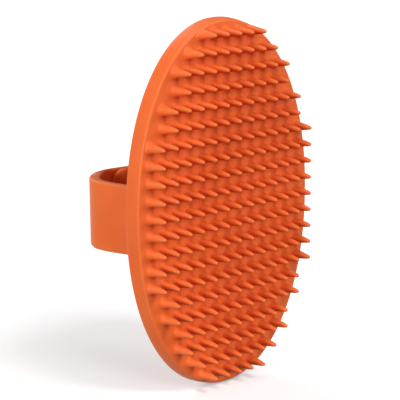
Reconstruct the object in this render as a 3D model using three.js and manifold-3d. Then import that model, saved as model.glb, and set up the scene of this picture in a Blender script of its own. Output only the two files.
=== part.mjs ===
// Oval rubber curry comb with a buttoned hand strap.
// Frame: +Z along the comb's length, teeth point to -Y, the hand strap stands on the +Y side.
// The origin is the centre of the flat palm face. Millimetres.
import * as THREE from 'three';
import { mergeVertices } from 'three/addons/utils/BufferGeometryUtils.js';
import Module from 'manifold-3d';

const wasm = await Module();
wasm.setup();

// Plate: semi-axes of its front outline, its thickness, and how much wider the palm side is.
const PLATE_HALF_WIDTH = 46.0;
const PLATE_HALF_LENGTH = 74.6;
const PLATE_THICKNESS = 7.0;
const PLATE_DRAFT = 0.8;
const PLATE_SQUARENESS = 2.1; // exponent of the superellipse, 2 is a plain ellipse
const FRONT_ROUND = 1.0;
const PALM_ROUND = 0.6;
const ROUND_MIDDLE = 0.3; // how far in and down the middle of the front edge's round lies, of its radius
const OUTLINE_STEPS = 72;

// Teeth: a square grid of cones, kept where it falls inside an oval.
const TOOTH_PITCH_X = 6.6;
const TOOTH_PITCH_Z = 6.9;
const TOOTH_HEIGHT = 8.8;
const TOOTH_BASE_RADIUS = 2.2;
const TOOTH_TIP_RADIUS = 0.75;
const TOOTH_SIDES = 6;
const TOOTH_SINK = 0.5;
const GRID_HALF_COLUMNS = 6.6;
const GRID_HALF_ROWS = 10.6;
const GRID_CENTRE_Z = 0.6;

// Strap: a band that stands across the middle of the palm face.
const STRAP_WIDTH = 28;
const STRAP_CENTRE_Z = -2.4;
const ROOT_X = 37.6;
const BULGE_X = 43.2;
const BULGE_Y = 23;
const CREST_X = 23;
const CREST_Y = 41.2;
const MIDDLE_Y = 39.6;
const GAP = 0.3; // between pieces that touch
const ROOT_THICKNESS = 2.6;
const BEND_THICKNESS = 4.4;
const FAR_BEND_THICKNESS = 3.4;
const FLAP_THICKNESS = 2.4;
const TONGUE_THICKNESS = 2.2;
const TONGUE_TIP_THICKNESS = 1.0;
const BAND_STEP = 2.4;

// Handles of the curves that make the loop: on the side wall, round the bend and along the back.
const ROOT_HANDLE_X = 39.4;
const ROOT_HANDLE_Y = 8;
const SIDE_HANDLE_Y = 15;
const BEND_HANDLE_Y = 30;
const BEND_HANDLE_X = 34;
const CREST_HANDLE_X = 16;
const MIDDLE_HANDLE_X = 8;

// Stretches of the loop over which a thickness or a depth changes, in distance along it.
const WALL_THICKENS = [4, 28]; // from a root
const WALL_THINS = [38, 52]; // from the near root
const LAP_ENDS = [1, 22]; // from the flap's end
const TONGUE_THICKENS = 14; // from the tongue's hinge
const TONGUE_TAPER = 7; // from the tongue's tip

// Where the strap's pieces begin and end, by the X of the loop.
const FLAP_HINGE_X = -26;
const FLAP_END_X = 23;
const TONGUE_HINGE_X = 29;
const TONGUE_TIP_X = -23.5;

// Buttons on the tongue and the holes for them in the flap.
const HOLE_RADIUS = 2.6;
const HOLE_PITCH_X = 9;
const HOLE_PITCH_Z = 13;
const HOLE_COLUMNS = 4;
const FIRST_HOLE_X = -13.5;
const STUD_RADIUS = 2.1;
const STUD_PROUD = 1.4;
const STUD_COLUMNS = [1, 2];
const ROUND_SIDES = 16;

const SAME_POINT = 1e-4; // vertices closer than this are one

const RUBBER = { color: 0xeb692d, roughness: 0.55, metalness: 0 };

function solidOf(geometry) {
  const bare = geometry.clone();
  bare.deleteAttribute('normal');
  bare.deleteAttribute('uv');
  const merged = mergeVertices(bare, SAME_POINT);
  return new wasm.Manifold(new wasm.Mesh({
    numProp: 3,
    vertProperties: new Float32Array(merged.attributes.position.array),
    triVerts: new Uint32Array(merged.index.array),
  }));
}

function geometryOf(solid) {
  const mesh = solid.getMesh();
  const geometry = new THREE.BufferGeometry();
  geometry.setAttribute('position', new THREE.BufferAttribute(new Float32Array(mesh.vertProperties), 3));
  geometry.setIndex(new THREE.BufferAttribute(new Uint32Array(mesh.triVerts), 1));
  geometry.computeVertexNormals();
  return geometry;
}

function named(name, geometry) {
  const mesh = new THREE.Mesh(geometry, new THREE.MeshStandardMaterial(RUBBER));
  mesh.name = name;
  return mesh;
}

// A point of the plate's outline, grown by a distance on both semi-axes.
function outlinePoint(angle, grown) {
  const power = 2 / PLATE_SQUARENESS;
  const [c, s] = [Math.cos(angle), Math.sin(angle)];
  const x = (PLATE_HALF_WIDTH + grown) * Math.sign(c) * Math.abs(c) ** power;
  const z = (PLATE_HALF_LENGTH + grown) * Math.sign(s) * Math.abs(s) ** power;
  return [x, z];
}

// The plate: rings of its outline stacked from the palm face to the front, closed by two fans.
function plateGeometry() {
  const front = -PLATE_THICKNESS;
  const levels = [
    [0, PLATE_DRAFT - PALM_ROUND],
    [-PALM_ROUND, PLATE_DRAFT],
    [front + FRONT_ROUND, 0],
    [front + ROUND_MIDDLE * FRONT_ROUND, -ROUND_MIDDLE * FRONT_ROUND],
    [front, -FRONT_ROUND],
  ];
  const positions = [];
  for (const [y, grown] of levels) {
    for (let k = 0; k < OUTLINE_STEPS; k += 1) {
      const [x, z] = outlinePoint((2 * Math.PI * k) / OUTLINE_STEPS, grown);
      positions.push(x, y, z);
    }
  }
  const palmCentre = positions.length / 3;
  positions.push(0, 0, 0, 0, front, 0);
  const frontCentre = palmCentre + 1;
  const lastRing = (levels.length - 1) * OUTLINE_STEPS;
  const triangles = [];
  for (let k = 0; k < OUTLINE_STEPS; k += 1) {
    const next = (k + 1) % OUTLINE_STEPS;
    for (let ring = 0; ring < lastRing; ring += OUTLINE_STEPS) {
      const [a, b] = [ring + k, ring + next];
      const [c, d] = [a + OUTLINE_STEPS, b + OUTLINE_STEPS];
      triangles.push(a, b, c, b, d, c);
    }
    triangles.push(palmCentre, next, k, frontCentre, lastRing + k, lastRing + next);
  }
  const geometry = new THREE.BufferGeometry();
  geometry.setAttribute('position', new THREE.Float32BufferAttribute(positions, 3));
  geometry.setIndex(triangles);
  return geometry;
}

function toothPad() {
  const length = TOOTH_HEIGHT + TOOTH_SINK;
  const cone = new THREE.CylinderGeometry(TOOTH_BASE_RADIUS, TOOTH_TIP_RADIUS, length, TOOTH_SIDES);
  cone.translate(0, TOOTH_SINK - PLATE_THICKNESS - length / 2, 0);
  const tooth = solidOf(cone);
  const teeth = [];
  for (let row = -Math.floor(GRID_HALF_ROWS); row <= GRID_HALF_ROWS; row += 1) {
    for (let column = -Math.floor(GRID_HALF_COLUMNS); column <= GRID_HALF_COLUMNS; column += 1) {
      if ((column / GRID_HALF_COLUMNS) ** 2 + (row / GRID_HALF_ROWS) ** 2 <= 1) {
        teeth.push(tooth.translate([column * TOOTH_PITCH_X, 0, GRID_CENTRE_Z + row * TOOTH_PITCH_Z]));
      }
    }
  }
  return geometryOf(wasm.Manifold.union([solidOf(plateGeometry()), ...teeth]));
}

// The loop's outer line in the XY plane, from the near root round to the far root.
function loopPath() {
  const half = [
    [[-ROOT_X, 0], [-ROOT_HANDLE_X, ROOT_HANDLE_Y], [-BULGE_X, SIDE_HANDLE_Y], [-BULGE_X, BULGE_Y]],
    [[-BULGE_X, BULGE_Y], [-BULGE_X, BEND_HANDLE_Y], [-BEND_HANDLE_X, CREST_Y], [-CREST_X, CREST_Y]],
    [[-CREST_X, CREST_Y], [-CREST_HANDLE_X, CREST_Y], [-MIDDLE_HANDLE_X, MIDDLE_Y], [0, MIDDLE_Y]],
  ];
  const path = new THREE.CurvePath();
  const add = (points) => {
    path.add(new THREE.CubicBezierCurve(...points.map(([x, y]) => new THREE.Vector2(x, y))));
  };
  half.forEach(add);
  const mirrored = half.map((points) => points.map(([x, y]) => [-x, y]).reverse());
  mirrored.reverse().forEach(add);
  return path;
}

const loop = loopPath();
const loopLength = loop.getLength();

function loopPoint(distance) {
  return loop.getPointAt(THREE.MathUtils.clamp(distance / loopLength, 0, 1));
}

// The point at a distance along the loop, moved inwards from its outer line.
function bandPoint(distance, depth) {
  const step = 0.05;
  const tangent = loopPoint(distance + step).sub(loopPoint(distance - step)).normalize();
  return loopPoint(distance).add(new THREE.Vector2(tangent.y, -tangent.x).multiplyScalar(depth));
}

// The distance along the loop at which its back run, the middle half of its length, reaches an X.
function distanceAtX(x) {
  let [low, high] = [0.25 * loopLength, 0.75 * loopLength];
  const tolerance = 1e-9;
  while (high - low > tolerance) {
    const middle = (low + high) / 2;
    if (loopPoint(middle).x < x) low = middle;
    else high = middle;
  }
  return low;
}

const flapHinge = distanceAtX(FLAP_HINGE_X);
const flapEnd = distanceAtX(FLAP_END_X);
const tongueHinge = distanceAtX(TONGUE_HINGE_X);
const tongueTip = distanceAtX(TONGUE_TIP_X);

// A band's plan outline between two distances, extruded over the strap's width.
function band(from, to, outerDepth, innerDepth) {
  const steps = Math.ceil((to - from) / BAND_STEP);
  const outer = [];
  const inner = [];
  for (let k = 0; k <= steps; k += 1) {
    const distance = from + ((to - from) * k) / steps;
    outer.push(bandPoint(distance, outerDepth(distance)));
    inner.unshift(bandPoint(distance, innerDepth(distance)));
  }
  const shape = new THREE.Shape([...outer, ...inner]);
  const geometry = new THREE.ExtrudeGeometry(shape, { depth: STRAP_WIDTH, bevelEnabled: false });
  geometry.translate(0, 0, STRAP_CENTRE_Z - STRAP_WIDTH / 2);
  return geometry;
}

const none = () => 0;
const { smoothstep, lerp } = THREE.MathUtils;

// Thickness of the wall that stands on the plate, thick round the bend, by distance from its root.
function wallThickness(distance) {
  const atBend = lerp(ROOT_THICKNESS, BEND_THICKNESS, smoothstep(distance, ...WALL_THICKENS));
  return lerp(atBend, FLAP_THICKNESS, smoothstep(distance, ...WALL_THINS));
}

const layerDepth = FLAP_THICKNESS + GAP;

// The tongue lies under the flap on the back run and comes out to the loop's line round the far bend.
function tongueOuter(distance) {
  return layerDepth * (1 - smoothstep(distance - flapEnd, ...LAP_ENDS));
}

function farThickness(distance) {
  const grown = smoothstep(distance - tongueHinge, 0, TONGUE_THICKENS);
  const atBend = lerp(TONGUE_THICKNESS, FAR_BEND_THICKNESS, grown);
  return lerp(ROOT_THICKNESS, atBend, smoothstep(loopLength - distance, ...WALL_THICKENS));
}

function tongueInner(distance) {
  const taper = smoothstep(distance - tongueTip, 0, TONGUE_TAPER);
  return tongueOuter(distance) + lerp(TONGUE_TIP_THICKNESS, TONGUE_THICKNESS, taper);
}

function roundAlongY(radius, y, height, x, z) {
  const cylinder = new THREE.CylinderGeometry(radius, radius, height, ROUND_SIDES);
  cylinder.translate(x, y + height / 2, z);
  return cylinder;
}

const rowsZ = [STRAP_CENTRE_Z + HOLE_PITCH_Z / 2, STRAP_CENTRE_Z - HOLE_PITCH_Z / 2];
const columnX = (column) => FIRST_HOLE_X + column * HOLE_PITCH_X;

function flapGeometry() {
  const drill = 20; // longer than the flap is thick
  let flap = solidOf(band(flapHinge + GAP / 2, flapEnd, none, () => FLAP_THICKNESS));
  for (let column = 0; column < HOLE_COLUMNS; column += 1) {
    for (const z of rowsZ) {
      const hole = roundAlongY(HOLE_RADIUS, MIDDLE_Y - drill / 2, drill, columnX(column), z);
      flap = flap.subtract(solidOf(hole));
    }
  }
  return geometryOf(flap);
}

function studs() {
  const made = [];
  for (const column of STUD_COLUMNS) {
    for (const z of rowsZ) {
      const x = columnX(column);
      const top = bandPoint(distanceAtX(x), 0).y + STUD_PROUD;
      const foot = bandPoint(distanceAtX(x), layerDepth - GAP).y;
      made.push(named(`stud_${made.length + 1}`, roundAlongY(STUD_RADIUS, foot, top - foot, x, z)));
    }
  }
  return made;
}

const nearWall = band(GAP, flapHinge - GAP / 2, none, wallThickness);
const farWall = band(
  tongueHinge + GAP / 2,
  loopLength - GAP,
  tongueOuter,
  (distance) => tongueOuter(distance) + farThickness(distance),
);
const tongue = band(tongueTip, tongueHinge - GAP / 2, tongueOuter, tongueInner);

const comb = new THREE.Group();
comb.add(named('tooth_pad', toothPad()));
comb.add(named('strap_root_near', nearWall));
comb.add(named('strap_root_far', farWall));
comb.add(named('strap_flap', flapGeometry()));
comb.add(named('strap_tongue', tongue));
comb.add(...studs());

export default comb;
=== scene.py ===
"""An oval rubber curry comb that stands on its end, with the hand strap behind it.

Lengths are in metres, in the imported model's frame: +Z along the comb, teeth towards -Y,
strap on the +Y side, origin at the centre of the palm face.
"""

import math

import bmesh
import bpy
from mathutils import Matrix, Vector
from mathutils.geometry import delaunay_2d_cdt


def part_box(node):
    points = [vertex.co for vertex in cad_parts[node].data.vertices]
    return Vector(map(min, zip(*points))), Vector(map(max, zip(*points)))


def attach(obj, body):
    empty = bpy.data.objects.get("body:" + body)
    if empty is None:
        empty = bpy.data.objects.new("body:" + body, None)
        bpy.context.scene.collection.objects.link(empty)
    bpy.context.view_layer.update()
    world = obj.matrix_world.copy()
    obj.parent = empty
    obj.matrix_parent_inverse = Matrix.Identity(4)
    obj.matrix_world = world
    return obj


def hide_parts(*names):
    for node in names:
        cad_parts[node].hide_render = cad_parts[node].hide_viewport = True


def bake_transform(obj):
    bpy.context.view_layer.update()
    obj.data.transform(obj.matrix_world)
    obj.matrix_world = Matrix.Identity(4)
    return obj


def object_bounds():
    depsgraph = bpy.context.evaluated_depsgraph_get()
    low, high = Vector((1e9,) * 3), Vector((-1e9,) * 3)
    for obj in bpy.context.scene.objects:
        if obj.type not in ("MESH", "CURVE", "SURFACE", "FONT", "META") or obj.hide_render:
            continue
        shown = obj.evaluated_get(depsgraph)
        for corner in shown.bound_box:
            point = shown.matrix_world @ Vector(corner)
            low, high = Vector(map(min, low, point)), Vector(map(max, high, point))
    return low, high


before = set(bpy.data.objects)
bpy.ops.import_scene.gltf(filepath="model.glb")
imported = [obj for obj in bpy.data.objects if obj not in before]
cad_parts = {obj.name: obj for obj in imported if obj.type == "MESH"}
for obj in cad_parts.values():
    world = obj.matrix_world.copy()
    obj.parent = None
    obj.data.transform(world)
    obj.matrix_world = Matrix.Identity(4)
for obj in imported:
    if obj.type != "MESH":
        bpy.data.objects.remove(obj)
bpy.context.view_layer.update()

MM = 0.001
SAME_POINT = 1e-7

# Plate and teeth. The rounded edges, flared feet and round tips are finer than in the CAD model.
PLATE_LOW, PLATE_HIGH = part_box("tooth_pad")
PLATE_DRAFT = 0.8 * MM
HALF_WIDTH = PLATE_HIGH.x - PLATE_DRAFT
HALF_LENGTH = PLATE_HIGH.z - PLATE_DRAFT
TIP_Y = PLATE_LOW.y
TOOTH_HEIGHT = 8.8 * MM
FACE_Y = TIP_Y + TOOTH_HEIGHT
SQUARENESS = 2.1
FRONT_ROUND = 0.9 * MM
PALM_ROUND = 0.9 * MM
RIM_BELLY = 0.12 * MM
ROUND_STEPS = 6
SIDE_STEPS = 6
PALM_STEPS = 5
PALM_RINGS = (2 * MM, 12 * MM, 30 * MM)
PITCH_X = 6.6 * MM
PITCH_Z = 6.9 * MM
COLUMNS_EACH_WAY = 6
ROWS_EACH_WAY = 10
# The oval that the teeth fill, in steps of the grid.
HALF_COLUMNS = COLUMNS_EACH_WAY + 0.6
HALF_ROWS = ROWS_EACH_WAY + 0.6
GRID_CENTRE_Z = 0.6 * MM
TOOTH_BASE = 2.1 * MM
TOOTH_TIP = 0.72 * MM
FLARE_WIDTH = 0.95 * MM
FLARE_HEIGHT = 2.4 * MM
EDGE_MARGIN = 0.15 * MM
CUT_STEP = 0.02
FOOT_STEPS = 6
CONE_STEPS = 5
TIP_STEPS = 6
SPOT_MARGIN = 4 * MM
TOOTH_SEGMENTS = 24
OUTLINE_POINTS = 240

# Strap. It follows the CAD model's line and thicknesses, with rolled edges and swollen roots.
STRAP_LOW, STRAP_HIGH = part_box("strap_root_near")
STRAP_CENTRE_Z = (STRAP_LOW.z + STRAP_HIGH.z) / 2
STRAP_HALF_WIDTH = (STRAP_HIGH.z - STRAP_LOW.z) / 2
ROOT_X = 37.6 * MM
BULGE_X = -STRAP_LOW.x
BULGE_Y = 23 * MM
CREST_X = 23 * MM
CREST_Y = 41.2 * MM
MIDDLE_Y = 39.6 * MM
ROOT_HANDLE_X = 1.8 * MM
ROOT_HANDLE_Y = 8 * MM
SIDE_HANDLE_Y = 15 * MM
BEND_HANDLE_X = 34 * MM
BEND_HANDLE_Y = 30 * MM
CREST_HANDLE_X = 16 * MM
MIDDLE_HANDLE_X = 8 * MM
CURVE_STEPS = 200
SLOPE_STEP = 0.4 * MM
BISECTIONS = 40
GAP = 0.3 * MM
ROOT_THICKNESS = 2.6 * MM
BEND_THICKNESS = 4.4 * MM
FAR_BEND_THICKNESS = BEND_THICKNESS - 1 * MM
FLAP_THICKNESS = 2.4 * MM
TONGUE_THICKNESS = 2.2 * MM
TONGUE_TIP_THICKNESS = 1.0 * MM
LAYER = FLAP_THICKNESS + GAP
# Where the thickness or depth changes: distances along the strap from a root, the flap's end,
# the tongue's hinge or the tongue's tip.
WALL_THICKENS = (4 * MM, 28 * MM)
WALL_THINS = (38 * MM, 52 * MM)
LAP_ENDS = (1 * MM, 22 * MM)
TONGUE_THICKENS = 14 * MM
TONGUE_TAPER = 7 * MM
ROOT_FLARE_LENGTH = 3.2 * MM
ROOT_FLARE_WIDTH = 2.2 * MM
ROOT_SINK = 0.4 * MM
ROOT_CORNER = 0.9 * MM
END_CORNER = 7 * MM
SMALLEST_CORNER = 0.2 * MM
CORNER_STEPS = 8
FLAP_END_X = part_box("strap_flap")[1].x
TONGUE_TIP_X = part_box("strap_tongue")[0].x
TONGUE_HINGE_X = 29 * MM
EDGE_ROUND = 0.85 * MM
ROLL_STEPS = 6
# A rolled edge takes no more than this share of the strip's thickness.
LARGEST_ROLL = 0.45
BAND_STEP = 1.4 * MM
HOLE_RADIUS = 2.6 * MM
HOLE_ROUND = 0.35 * MM
HOLE_CLEARANCE = HOLE_RADIUS + 2.2 * HOLE_ROUND
HOLE_SEGMENTS = 32
HOLE_COLUMNS_X = [(-13.5 + 9 * k) * MM for k in range(4)]
HOLE_ROWS_Z = [STRAP_CENTRE_Z + 6.5 * MM, STRAP_CENTRE_Z - 6.5 * MM]

# Studs, in the middle two of the four columns of holes.
STUD_COLUMNS_X = HOLE_COLUMNS_X[1:3]
STUD_NECK = 1.75 * MM
STUD_HEAD = HOLE_RADIUS + 0.35 * MM
HEAD_UNDERSIDE = FLAP_THICKNESS + 0.45 * MM
HEAD_EDGE = 0.15 * MM
HEAD_STEPS = 7
STUD_SEGMENTS = 32


# ---------------------------------------------------------------- mesh helpers

def make_object(name, vertices, faces, material):
    """A smooth-shaded mesh object, with its faces turned outwards."""
    mesh = bpy.data.meshes.new(name)
    mesh.from_pydata(vertices, [], faces)
    work = bmesh.new()
    work.from_mesh(mesh)
    bmesh.ops.remove_doubles(work, verts=work.verts, dist=SAME_POINT)
    bmesh.ops.recalc_face_normals(work, faces=work.faces)
    for face in work.faces:
        face.smooth = True
    work.to_mesh(mesh)
    work.free()
    piece = bpy.data.objects.new(name, mesh)
    bpy.context.scene.collection.objects.link(piece)
    mesh.materials.append(material)
    return piece


def bridge(faces, ring_a, ring_b):
    """Quads between two closed rings of vertex numbers."""
    count = len(ring_a)
    for k in range(count):
        nxt = (k + 1) % count
        faces.append((ring_a[k], ring_a[nxt], ring_b[nxt], ring_b[k]))


def fill_flat(rim, holes, spots):
    """Triangulates the flat region inside a rim and outside round holes, with points added at spots.

    Returns the points and the triangles. The rim's points come first, then the holes', in order.
    """
    points, edges, owner = [], [], []
    for number, ring in enumerate([rim] + holes):
        first = len(points)
        points += ring
        owner += [number] * len(ring)
        edges += [(first + k, first + (k + 1) % len(ring)) for k in range(len(ring))]
    points += spots
    owner += [0] * len(spots)
    made = delaunay_2d_cdt([Vector(p) for p in points], edges, [], 0, SAME_POINT)
    triangles, sources = made[2], made[3]
    original = [min(source) for source in sources]
    kept = []
    for triangle in triangles:
        a, b, c = (original[k] for k in triangle)
        in_hole = owner[a] == owner[b] == owner[c] != 0
        if not in_hole:
            kept.append((a, b, c))
    return points, kept


def smoothstep(value, low, high):
    t = min(max((value - low) / (high - low), 0), 1)
    return t * t * (3 - 2 * t)


def lerp(a, b, t):
    return a + (b - a) * t


# ---------------------------------------------------------------- tooth pad

def outline(grown, count=OUTLINE_POINTS):
    """The plate's outline, grown by a distance, as (x, z) points evenly spread in angle."""
    points = []
    power = 2 / SQUARENESS
    for k in range(count):
        c, s = math.cos(2 * math.pi * k / count), math.sin(2 * math.pi * k / count)
        x = (HALF_WIDTH + grown) * math.copysign(abs(c) ** power, c)
        z = (HALF_LENGTH + grown) * math.copysign(abs(s) ** power, s)
        points.append((x, z))
    return points


def in_outline(x, z, grown=0):
    """Whether a point is inside the plate's outline, grown by a distance."""
    across, along = abs(x / (HALF_WIDTH + grown)), abs(z / (HALF_LENGTH + grown))
    return across**SQUARENESS + along**SQUARENESS <= 1


def tooth_places():
    """The centres of the teeth: a grid kept where it falls inside an oval."""
    places = []
    for row in range(-ROWS_EACH_WAY, ROWS_EACH_WAY + 1):
        for column in range(-COLUMNS_EACH_WAY, COLUMNS_EACH_WAY + 1):
            if (column / HALF_COLUMNS) ** 2 + (row / HALF_ROWS) ** 2 <= 1:
                places.append((column * PITCH_X, GRID_CENTRE_Z + row * PITCH_Z))
    return places


def quarter_turn(k, steps):
    """The k-th of the angles that split a quarter turn into equal steps."""
    return math.pi / 2 * k / steps


def cone_radius(height):
    return lerp(TOOTH_BASE, TOOTH_TIP, height / TOOTH_HEIGHT)


def tooth_profile():
    """(radius, height) rings of a tooth: a flared foot, a cone and a round tip, without the pole."""
    rings = []
    for k in range(FOOT_STEPS + 1):
        turn = quarter_turn(k, FOOT_STEPS)
        height = FLARE_HEIGHT * (1 - math.cos(turn))
        rings.append((cone_radius(height) + FLARE_WIDTH * (1 - math.sin(turn)), height))
    for k in range(1, CONE_STEPS):
        height = lerp(FLARE_HEIGHT, TOOTH_HEIGHT - TOOTH_TIP, k / CONE_STEPS)
        rings.append((cone_radius(height), height))
    slope = math.atan2(TOOTH_BASE - TOOTH_TIP, TOOTH_HEIGHT)
    for k in range(TIP_STEPS):
        turn = lerp(slope, math.pi / 2, k / TIP_STEPS)
        rings.append((TOOTH_TIP * math.cos(turn), TOOTH_HEIGHT - TOOTH_TIP * (1 - math.sin(turn))))
    return rings


def ring_points(x, z, radius, count):
    """The points of a circle."""
    turns = [2 * math.pi * k / count for k in range(count)]
    return [(x + radius * math.cos(turn), z + radius * math.sin(turn)) for turn in turns]


def tooth_ring(x, z, radius, height):
    """A ring of a tooth. Near the plate's edge its foot is cut back, and it leans out again above."""
    grown = height - FRONT_ROUND - EDGE_MARGIN
    ring = []
    for px, pz in ring_points(x, z, radius, TOOTH_SEGMENTS):
        reach = 1.0
        while not in_outline(lerp(x, px, reach), lerp(z, pz, reach), grown) and reach > CUT_STEP:
            reach -= CUT_STEP
        ring.append((lerp(x, px, reach), lerp(z, pz, reach)))
    return ring


def plate_sections():
    """(y, grown) from the front face's edge round the rim to the palm face."""
    sections = []
    for k in range(ROUND_STEPS + 1):
        turn = quarter_turn(k, ROUND_STEPS)
        inset = FRONT_ROUND * (1 - math.sin(turn))
        sections.append((FACE_Y + FRONT_ROUND * (1 - math.cos(turn)), -inset))
    for k in range(1, SIDE_STEPS):
        y = lerp(FACE_Y + FRONT_ROUND, -PALM_ROUND, k / SIDE_STEPS)
        belly = RIM_BELLY * math.sin(math.pi * k / SIDE_STEPS)
        sections.append((y, lerp(0, PLATE_DRAFT, k / SIDE_STEPS) + belly))
    for k in range(PALM_STEPS + 1):
        turn = quarter_turn(k, PALM_STEPS)
        inset = PALM_ROUND * (1 - math.cos(turn))
        sections.append((-PALM_ROUND * (1 - math.sin(turn)), PLATE_DRAFT - inset))
    return sections


def build_tooth_pad(material):
    """The plate and its teeth as one closed surface."""
    places = tooth_places()
    profile = tooth_profile()
    sections = plate_sections()
    foot = profile[0][0]
    rim = outline(sections[0][1])
    feet = [tooth_ring(x, z, foot, 0) for x, z in places]
    between = [
        ((column + 0.5) * PITCH_X, GRID_CENTRE_Z + (row + 0.5) * PITCH_Z)
        for row in range(-ROWS_EACH_WAY - 1, ROWS_EACH_WAY + 1)
        for column in range(-COLUMNS_EACH_WAY - 1, COLUMNS_EACH_WAY + 1)
    ]
    between = [spot for spot in between if in_outline(*spot, grown=-SPOT_MARGIN)]
    flat, triangles = fill_flat(rim, feet, between)
    vertices = [(x, FACE_Y, z) for x, z in flat]
    faces = list(triangles)
    first = OUTLINE_POINTS
    for x, z in places:
        ring = list(range(first, first + TOOTH_SEGMENTS))
        first += TOOTH_SEGMENTS
        for radius, height in profile[1:]:
            higher = list(range(len(vertices), len(vertices) + TOOTH_SEGMENTS))
            vertices += [(px, FACE_Y - height, pz) for px, pz in tooth_ring(x, z, radius, height)]
            bridge(faces, ring, higher)
            ring = higher
        vertices.append((x, TIP_Y, z))
        pole = len(vertices) - 1
        faces += [(ring[k], ring[(k + 1) % TOOTH_SEGMENTS], pole) for k in range(TOOTH_SEGMENTS)]
    ring = list(range(OUTLINE_POINTS))
    for y, grown in sections[1:]:
        wider = list(range(len(vertices), len(vertices) + OUTLINE_POINTS))
        vertices += [(x, y, z) for x, z in outline(grown)]
        bridge(faces, ring, wider)
        ring = wider
    for inset in PALM_RINGS:
        inner = list(range(len(vertices), len(vertices) + OUTLINE_POINTS))
        vertices += [(x, 0, z) for x, z in outline(-inset)]
        bridge(faces, ring, inner)
        ring = inner
    vertices.append((0, 0, 0))
    centre = len(vertices) - 1
    faces += [(ring[k], ring[(k + 1) % OUTLINE_POINTS], centre) for k in range(OUTLINE_POINTS)]
    return make_object("tooth_pad_rubber", vertices, faces, material)


# ---------------------------------------------------------------- strap

def bezier(points, t):
    """The point at t, from 0 to 1, on a cubic curve with four control points."""
    weights = ((1 - t) ** 3, 3 * t * (1 - t) ** 2, 3 * t * t * (1 - t), t**3)
    x = sum(weight * point[0] for weight, point in zip(weights, points))
    y = sum(weight * point[1] for weight, point in zip(weights, points))
    return Vector((x, y))


class Loop:
    """The strap's outer line in the XY plane, from the near root round to the far root, by distance."""

    def __init__(self):
        root, bulge = (-ROOT_X, 0), (-BULGE_X, BULGE_Y)
        crest, middle = (-CREST_X, CREST_Y), (0, MIDDLE_Y)
        half = [
            [root, (-ROOT_X - ROOT_HANDLE_X, ROOT_HANDLE_Y), (-BULGE_X, SIDE_HANDLE_Y), bulge],
            [bulge, (-BULGE_X, BEND_HANDLE_Y), (-BEND_HANDLE_X, CREST_Y), crest],
            [crest, (-CREST_HANDLE_X, CREST_Y), (-MIDDLE_HANDLE_X, MIDDLE_Y), middle],
        ]
        near = [bezier(points, k / CURVE_STEPS) for points in half for k in range(CURVE_STEPS)]
        far = [Vector((-p.x, p.y)) for p in reversed(near)]
        self.points = near + [Vector(middle)] + far
        self.distances = [0.0]
        for a, b in zip(self.points, self.points[1:]):
            self.distances.append(self.distances[-1] + (b - a).length)
        self.length = self.distances[-1]

    def at(self, distance):
        """The point at a distance; past either root it goes straight on."""
        if distance <= 0:
            return self.points[0] + (self.points[1] - self.points[0]).normalized() * distance
        if distance >= self.length:
            end = (self.points[-1] - self.points[-2]).normalized()
            return self.points[-1] + end * (distance - self.length)
        low, high = 0, len(self.points) - 1
        while high - low > 1:
            middle = (low + high) // 2
            if self.distances[middle] <= distance:
                low = middle
            else:
                high = middle
        t = (distance - self.distances[low]) / (self.distances[high] - self.distances[low])
        return self.points[low].lerp(self.points[high], t)

    def inwards(self, distance):
        """The direction square to the line, towards the inside of the loop."""
        ahead = (self.at(distance + SLOPE_STEP) - self.at(distance - SLOPE_STEP)).normalized()
        return Vector((ahead.y, -ahead.x))

    def distance_at_x(self, x):
        """The distance at which the line passes x, in its middle half, where x only grows."""
        low, high = 0.25 * self.length, 0.75 * self.length
        for _ in range(BISECTIONS):
            middle = (low + high) / 2
            if self.at(middle).x < x:
                low = middle
            else:
                high = middle
        return low


loop = Loop()
flap_end = loop.distance_at_x(FLAP_END_X)
tongue_hinge = loop.distance_at_x(TONGUE_HINGE_X)
tongue_tip = loop.distance_at_x(TONGUE_TIP_X)


def foot_flare(distance):
    """How far a root swells out where it meets the plate."""
    t = min(max(distance / ROOT_FLARE_LENGTH, 0), 1)
    return ROOT_FLARE_WIDTH * (1 - math.sqrt(1 - (1 - t) ** 2))


def near_outer(distance):
    """The depth of the near strip's outer face inside the loop's line."""
    return -foot_flare(distance)


def near_inner(distance):
    """The depth of the near strip's inner face."""
    wall = lerp(ROOT_THICKNESS, BEND_THICKNESS, smoothstep(distance, *WALL_THICKENS))
    return lerp(wall, FLAP_THICKNESS, smoothstep(distance, *WALL_THINS)) + foot_flare(distance)


def far_lift(distance):
    """How deep the far strip lies: one layer under the flap, and on the loop's line past it."""
    return LAYER * (1 - smoothstep(distance, flap_end + LAP_ENDS[0], flap_end + LAP_ENDS[1]))


def far_outer(distance):
    """The depth of the far strip's outer face."""
    return far_lift(distance) - foot_flare(loop.length - distance)


def far_inner(distance):
    """The depth of the far strip's inner face."""
    rise = smoothstep(distance, tongue_hinge, tongue_hinge + TONGUE_THICKENS)
    fall = smoothstep(distance, loop.length - WALL_THICKENS[1], loop.length - WALL_THICKENS[0])
    taper = smoothstep(distance, tongue_tip, tongue_tip + TONGUE_TAPER)
    thickness = lerp(lerp(TONGUE_THICKNESS, FAR_BEND_THICKNESS, rise), ROOT_THICKNESS, fall)
    thickness = lerp(TONGUE_TIP_THICKNESS, thickness, taper)
    return far_lift(distance) + thickness + foot_flare(loop.length - distance)


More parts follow.
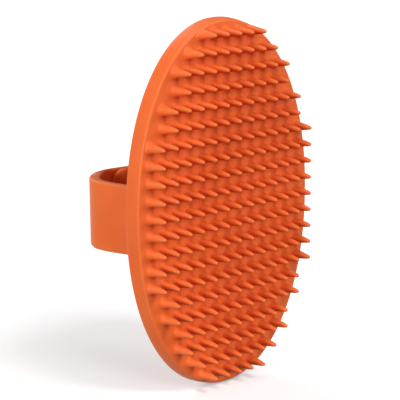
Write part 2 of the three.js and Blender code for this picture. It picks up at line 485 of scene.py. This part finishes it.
def band_outline(low, high, inset, round_low, round_high):
    """A strip's outline in (distance along the loop, z), with rounded ends, moved in by inset."""
    low, high = low + inset, high - inset
    half = STRAP_HALF_WIDTH - inset
    points = []
    corners = [
        (high, half, round_high),
        (low, half, round_low),
        (low, -half, round_low),
        (high, -half, round_high),
    ]
    for quarter, (end, z, radius) in enumerate(corners):
        radius = max(radius - inset, SMALLEST_CORNER)
        centre = (end - math.copysign(radius, end - (low + high) / 2), z - math.copysign(radius, z))
        for k in range(CORNER_STEPS + 1):
            turn = (quarter + k / CORNER_STEPS) * math.pi / 2
            points.append((centre[0] + radius * math.cos(turn), centre[1] + radius * math.sin(turn)))
    return points


def densify(points, step):
    """Adds points so that no side of a closed outline is longer than step."""
    dense = []
    for k, (ax, ay) in enumerate(points):
        bx, by = points[(k + 1) % len(points)]
        count = max(1, math.ceil(math.hypot(bx - ax, by - ay) / step))
        dense += [(lerp(ax, bx, i / count), lerp(ay, by, i / count)) for i in range(count)]
    return dense


def build_band(name, low, high, outer, inner, corner_low, corner_high, holes, material):
    """A strip of the loop from low to high, with rounded edges and round holes."""
    base = densify(band_outline(low, high, EDGE_ROUND, corner_low, corner_high), BAND_STEP)
    start_s, end_s = low + EDGE_ROUND, high - EDGE_ROUND
    half = STRAP_HALF_WIDTH - EDGE_ROUND

    def edge_points(amount):
        """The outer edge's points moved outwards from the flat part by amount."""
        moved = []
        for k, (s, z) in enumerate(base):
            before, after = base[k - 1], base[(k + 1) % len(base)]
            along = Vector((after[0] - before[0], after[1] - before[1])).normalized()
            moved.append((s + along.y * amount, z - along.x * amount))
        return moved

    circles = [ring_points(s, z, HOLE_RADIUS + HOLE_ROUND, HOLE_SEGMENTS) for s, z in holes]
    spots = []
    columns = math.floor((end_s - start_s) / BAND_STEP)
    rows = math.floor(2 * half / BAND_STEP)
    for i in range(1, columns):
        for j in range(1, rows):
            s = lerp(start_s, end_s, i / columns)
            z = lerp(-half, half, j / rows)
            if all(math.hypot(s - hs, z - hz) > HOLE_CLEARANCE for hs, hz in holes):
                spots.append((s, z))
    spots = [p for p in spots if point_in_polygon(*p, base) and clear_of_edge(p, base, 0.5 * BAND_STEP)]
    flat, triangles = fill_flat(base, circles, spots)

    def place(s, z, depth):
        """The point at a distance s along the loop, z across the strip and a depth inside its line."""
        point = loop.at(s) + loop.inwards(s) * depth
        return (point.x, point.y, z + STRAP_CENTRE_Z)

    vertices = [place(s, z, outer(s)) for s, z in flat]
    faces = list(triangles)
    shift = len(vertices)
    vertices += [place(s, z, inner(s)) for s, z in flat]
    faces += [(a + shift, c + shift, b + shift) for a, b, c in triangles]

    def wrap(ring_outer, ring_inner, moved_by, radius):
        """Rolls the edge over from the outer face to the inner face."""
        ring = ring_outer
        count = len(ring_outer)
        for side in (0, 1):
            for k in range(ROLL_STEPS):
                turn = math.pi / 2 * ((k + 1) / ROLL_STEPS if side == 0 else 1 - k / ROLL_STEPS)
                points = moved_by(radius * math.sin(turn))
                nxt = list(range(len(vertices), len(vertices) + count))
                for s, z in points:
                    roll = min(radius, LARGEST_ROLL * (inner(s) - outer(s)))
                    drop = roll * (1 - math.cos(turn))
                    depth = outer(s) + drop if side == 0 else inner(s) - drop
                    vertices.append(place(s, z, depth))
                bridge(faces, ring, nxt)
                ring = nxt
        bridge(faces, ring, ring_inner)

    count = len(base)
    wrap(list(range(count)), list(range(shift, shift + count)), edge_points, EDGE_ROUND)
    first = count
    for s, z in holes:
        numbers = list(range(first, first + HOLE_SEGMENTS))
        first += HOLE_SEGMENTS
        wrap(
            numbers,
            [n + shift for n in numbers],
            lambda amount, s=s, z=z: ring_points(s, z, HOLE_RADIUS + HOLE_ROUND - amount, HOLE_SEGMENTS),
            HOLE_ROUND,
        )
    return make_object(name, vertices, faces, material)


def point_in_polygon(x, y, polygon):
    found = False
    for k, (ax, ay) in enumerate(polygon):
        bx, by = polygon[k - 1]
        if (ay > y) != (by > y) and x < (bx - ax) * (y - ay) / (by - ay) + ax:
            found = not found
    return found


def clear_of_edge(point, polygon, distance):
    """Whether a point is further than a distance from every corner of a polygon."""
    return min(math.hypot(point[0] - x, point[1] - y) for x, y in polygon) > distance


def build_stud(name, x, z, material):
    """A moulded button: a flared foot on the tongue, a neck through the hole and a round head."""
    distance = loop.distance_at_x(x)
    base = loop.at(distance) + loop.inwards(distance) * LAYER
    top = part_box(name)[1].y - base.y
    profile = [
        (STUD_NECK + 1.2 * MM, -0.35 * MM),
        (STUD_NECK + 0.55 * MM, 0.05 * MM),
        (STUD_NECK + 0.12 * MM, 0.45 * MM),
        (STUD_NECK, 0.9 * MM),
        (STUD_NECK, HEAD_UNDERSIDE - 0.25 * MM),
        (STUD_NECK + 0.25 * MM, HEAD_UNDERSIDE),
        (STUD_HEAD - HEAD_EDGE, HEAD_UNDERSIDE),
        (STUD_HEAD, HEAD_UNDERSIDE + HEAD_EDGE),
    ]
    rise = top - HEAD_UNDERSIDE - HEAD_EDGE
    for k in range(1, HEAD_STEPS):
        turn = quarter_turn(k, HEAD_STEPS)
        profile.append((STUD_HEAD * math.cos(turn), HEAD_UNDERSIDE + HEAD_EDGE + rise * math.sin(turn)))
    vertices, faces, rings = [], [], []
    for radius, height in profile:
        rings.append(list(range(len(vertices), len(vertices) + STUD_SEGMENTS)))
        circle = ring_points(x, z, radius, STUD_SEGMENTS)
        vertices += [(px, base.y + height, pz) for px, pz in circle]
    for a, b in zip(rings, rings[1:]):
        bridge(faces, a, b)
    vertices += [(x, base.y + profile[0][1], z), (x, base.y + top, z)]
    for k in range(STUD_SEGMENTS):
        nxt = (k + 1) % STUD_SEGMENTS
        faces.append((rings[0][nxt], rings[0][k], len(vertices) - 2))
        faces.append((rings[-1][k], rings[-1][nxt], len(vertices) - 1))
    return make_object(name + "_rubber", vertices, faces, material)


# ---------------------------------------------------------------- materials

# Painted highlight: the paler orange laid on sharp edges and tooth tips.
EDGE_HIGHLIGHT_RUBBER = (1.0, 0.34, 0.12)

# The sockets of a Mix node that hold its colours.
MIX_FACTOR, MIX_FIRST, MIX_SECOND, MIX_RESULT = 0, 6, 7, 2


def link(tree, a, out, b, into):
    tree.links.new(a.outputs[out], b.inputs[into])


def rubber(name, light, dark):
    """Moulded natural rubber: a slightly mottled orange, with a painted highlight of paler orange on sharp
    edges and tips, and a satin grained skin.
    """
    material = bpy.data.materials.new(name)
    material.use_nodes = True
    tree = material.node_tree
    shader = tree.nodes["Principled BSDF"]
    place = tree.nodes.new("ShaderNodeTexCoord")

    mottle = tree.nodes.new("ShaderNodeTexNoise")
    mottle.inputs["Scale"].default_value = 45
    mottle.inputs["Detail"].default_value = 5
    link(tree, place, "Object", mottle, "Vector")
    colours = tree.nodes.new("ShaderNodeValToRGB")
    colours.color_ramp.elements[0].position = 0.32
    colours.color_ramp.elements[0].color = (*dark, 1)
    colours.color_ramp.elements[1].position = 0.68
    colours.color_ramp.elements[1].color = (*light, 1)
    link(tree, mottle, "Fac", colours, "Fac")

    # Painted highlight: sharp edges and tooth tips are mixed towards a paler orange by pointiness.
    shape = tree.nodes.new("ShaderNodeNewGeometry")
    highlight_mask = tree.nodes.new("ShaderNodeMapRange")
    highlight_mask.inputs["From Min"].default_value = 0.505
    highlight_mask.inputs["From Max"].default_value = 0.58
    highlight_mask.inputs["To Max"].default_value = 0.6
    link(tree, shape, "Pointiness", highlight_mask, "Value")
    highlighted = tree.nodes.new("ShaderNodeMix")
    highlighted.data_type = "RGBA"
    highlighted.inputs[MIX_SECOND].default_value = (*EDGE_HIGHLIGHT_RUBBER, 1)
    link(tree, highlight_mask, "Result", highlighted, MIX_FACTOR)
    link(tree, colours, "Color", highlighted, MIX_FIRST)
    link(tree, highlighted, MIX_RESULT, shader, "Base Color")

    skin = tree.nodes.new("ShaderNodeTexNoise")
    skin.inputs["Scale"].default_value = 160
    skin.inputs["Detail"].default_value = 4
    link(tree, place, "Object", skin, "Vector")
    gloss = tree.nodes.new("ShaderNodeMapRange")
    gloss.inputs["To Min"].default_value = 0.38
    gloss.inputs["To Max"].default_value = 0.54
    link(tree, skin, "Fac", gloss, "Value")
    link(tree, gloss, "Result", shader, "Roughness")

    grain = tree.nodes.new("ShaderNodeTexNoise")
    grain.inputs["Scale"].default_value = 2600
    grain.inputs["Detail"].default_value = 3
    link(tree, place, "Object", grain, "Vector")
    bump = tree.nodes.new("ShaderNodeBump")
    bump.inputs["Strength"].default_value = 0.12
    bump.inputs["Distance"].default_value = 0.00006
    link(tree, grain, "Fac", bump, "Height")
    link(tree, bump, "Normal", shader, "Normal")

    shader.inputs["Specular IOR Level"].default_value = 0.17
    shader.inputs["Subsurface Weight"].default_value = 0.25
    shader.inputs["Subsurface Radius"].default_value = (1.0, 0.28, 0.08)
    shader.inputs["Subsurface Scale"].default_value = 0.0015
    return material


def plain(name, colour, roughness, glow):
    """An even paint that also glows a little, so that shadows on it stay pale."""
    material = bpy.data.materials.new(name)
    material.use_nodes = True
    shader = material.node_tree.nodes["Principled BSDF"]
    shader.inputs["Base Color"].default_value = (*colour, 1)
    shader.inputs["Roughness"].default_value = roughness
    shader.inputs["Emission Color"].default_value = (1, 1, 1, 1)
    shader.inputs["Emission Strength"].default_value = glow
    return material


# ---------------------------------------------------------------- the comb

pad_rubber = rubber("pad_rubber", light=(0.86, 0.160, 0.034), dark=(0.79, 0.136, 0.028))
strap_rubber = rubber("strap_rubber", light=(0.86, 0.164, 0.034), dark=(0.79, 0.142, 0.029))

pad = build_tooth_pad(pad_rubber)
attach(pad, "comb")
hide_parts("tooth_pad")

hole_spots = [(loop.distance_at_x(x), z - STRAP_CENTRE_Z) for x in HOLE_COLUMNS_X for z in HOLE_ROWS_Z]
near_strap = build_band(
    "strap_near_rubber",
    low=-ROOT_SINK,
    high=flap_end,
    outer=near_outer,
    inner=near_inner,
    corner_low=ROOT_CORNER,
    corner_high=END_CORNER,
    holes=hole_spots,
    material=strap_rubber,
)
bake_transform(near_strap)
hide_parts("strap_root_near", "strap_flap")

far_strap = build_band(
    "strap_far_rubber",
    low=tongue_tip,
    high=loop.length + ROOT_SINK,
    outer=far_outer,
    inner=far_inner,
    corner_low=END_CORNER,
    corner_high=ROOT_CORNER,
    holes=[],
    material=strap_rubber,
)
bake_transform(far_strap)
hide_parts("strap_root_far", "strap_tongue")

stud_places = [(x, z) for x in STUD_COLUMNS_X for z in HOLE_ROWS_Z]
for number, (x, z) in enumerate(stud_places, start=1):
    stud = build_stud(f"stud_{number}", x, z, strap_rubber)
    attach(stud, "tongue")
    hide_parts(f"stud_{number}")


# ---------------------------------------------------------------- stage, light and camera

CAMERA_AZIMUTH = math.radians(-41.64)
CAMERA_ELEVATION = math.radians(12.29)
CAMERA_ROLL = math.radians(-0.37)
CAMERA_DISTANCE = 0.530
CAMERA_LENS = 118.4
SENSOR_WIDTH = 36
AIM = Vector((-0.0082, 0, 0.0024))
FLOOR_REACH = 6.0
FLOOR_GAP = 0.1 * MM
SUN_SOFTNESS = 20
SKY_ABOVE = 0.27
SKY_BELOW = 0.05


def add_camera():
    data = bpy.data.cameras.new("camera")
    data.lens = CAMERA_LENS
    data.sensor_width = SENSOR_WIDTH
    camera = bpy.data.objects.new("camera", data)
    back = Vector((
        math.sin(CAMERA_AZIMUTH) * math.cos(CAMERA_ELEVATION),
        -math.cos(CAMERA_AZIMUTH) * math.cos(CAMERA_ELEVATION),
        math.sin(CAMERA_ELEVATION),
    ))
    camera.matrix_world = (
        Matrix.Translation(AIM + back * CAMERA_DISTANCE)
        @ (-back).to_track_quat("-Z", "Y").to_matrix().to_4x4()
        @ Matrix.Rotation(CAMERA_ROLL, 4, "Z")
    )
    bpy.context.scene.collection.objects.link(camera)
    bpy.context.scene.camera = camera


def add_floor():
    """A pale floor that the comb stands on. It throws no light up, so the comb stays dark underneath."""
    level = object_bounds()[0].z - FLOOR_GAP
    signs = [(-1, -1), (1, -1), (1, 1), (-1, 1)]
    corners = [(x * FLOOR_REACH, y * FLOOR_REACH, level) for x, y in signs]
    paint = plain("floor_paint", colour=(0.92, 0.92, 0.92), roughness=0.8, glow=0.25)
    floor = make_object("floor", corners, [(0, 1, 2, 3)], paint)
    floor.visible_diffuse = False


def add_sun(name, azimuth, elevation, strength):
    """A distant soft light. At azimuth 0 it shines on the teeth, and at -90 on the comb's -X side."""
    data = bpy.data.lights.new(name, "SUN")
    data.energy = strength
    data.angle = math.radians(SUN_SOFTNESS)
    lamp = bpy.data.objects.new(name, data)
    across, up = math.radians(azimuth), math.radians(elevation)
    towards = Vector((math.sin(across) * math.cos(up), -math.cos(across) * math.cos(up), math.sin(up)))
    lamp.rotation_euler = towards.to_track_quat("Z", "Y").to_euler()
    bpy.context.scene.collection.objects.link(lamp)


def add_sky():
    """Soft light from all round, much weaker from below, and a plain white background."""
    world = bpy.data.worlds.new("studio")
    bpy.context.scene.world = world
    world.use_nodes = True
    tree = world.node_tree
    place = tree.nodes.new("ShaderNodeTexCoord")
    split = tree.nodes.new("ShaderNodeSeparateXYZ")
    link(tree, place, "Generated", split, "Vector")
    strength = tree.nodes.new("ShaderNodeMapRange")
    strength.inputs["From Min"].default_value = -0.1
    strength.inputs["From Max"].default_value = 0.15
    strength.inputs["To Min"].default_value = SKY_BELOW
    strength.inputs["To Max"].default_value = SKY_ABOVE
    link(tree, split, "Z", strength, "Value")
    ray = tree.nodes.new("ShaderNodeLightPath")
    shown = tree.nodes.new("ShaderNodeMath")
    shown.operation = "MAXIMUM"
    link(tree, ray, "Is Camera Ray", shown, 0)
    link(tree, strength, "Result", shown, 1)
    link(tree, shown, "Value", tree.nodes["Background"], "Strength")
    tree.nodes["Background"].inputs["Color"].default_value = (1, 1, 1, 1)


def add_light():
    add_sky()
    add_sun("side", azimuth=-84, elevation=11, strength=2.25)
    add_sun("front", azimuth=8, elevation=50, strength=1.1)
    add_sun("near_front", azimuth=-12, elevation=28, strength=0.75)
    add_sun("far_front", azimuth=35, elevation=20, strength=0.65)
    add_sun("back", azimuth=165, elevation=35, strength=0.8)


bpy.context.scene.view_settings.view_transform = "Standard"
add_floor()
add_light()
add_camera()
